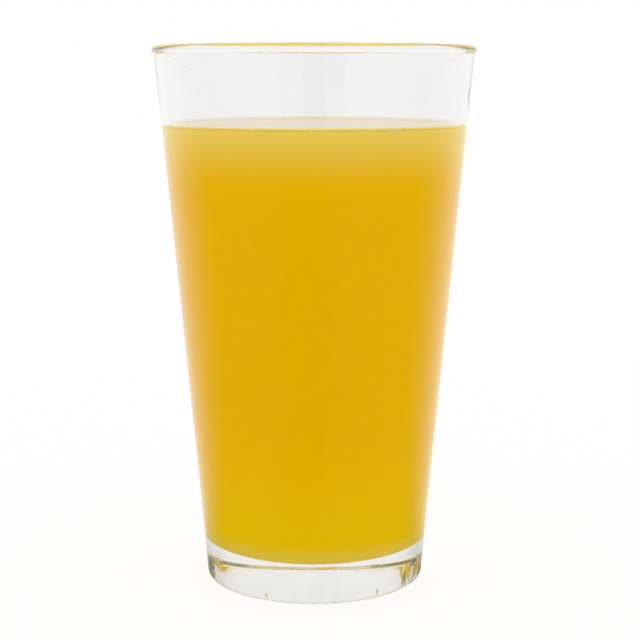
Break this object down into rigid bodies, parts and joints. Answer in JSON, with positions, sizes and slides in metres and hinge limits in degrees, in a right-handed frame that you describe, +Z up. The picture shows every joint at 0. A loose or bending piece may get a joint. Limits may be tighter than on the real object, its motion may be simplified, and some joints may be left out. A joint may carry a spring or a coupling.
{
  "type": "glass of pineapple juice",
  "caption": "Tapered clear glass tumbler with a beaded rim, thick base and flat foot, holding cloudy golden pineapple juice to a little below the rim.",
  "frame": {"origin": "centre of the foot, on the surface that the glass stands on", "axes": "+Z up along the glass's axis of symmetry, from foot to rim"},
  "size_m": [0.0888, 0.0888, 0.1492],
  "materials": {
    "glass": "clear pressed glass, fire-polished rim, faint green tint in the thick base",
    "juice": "cloudy golden yellow juice, wet gloss on its surface"
  },
  "bodies": {
    "root": {"glass": "glass", "juice": "juice"}
  },
  "joints": []
}
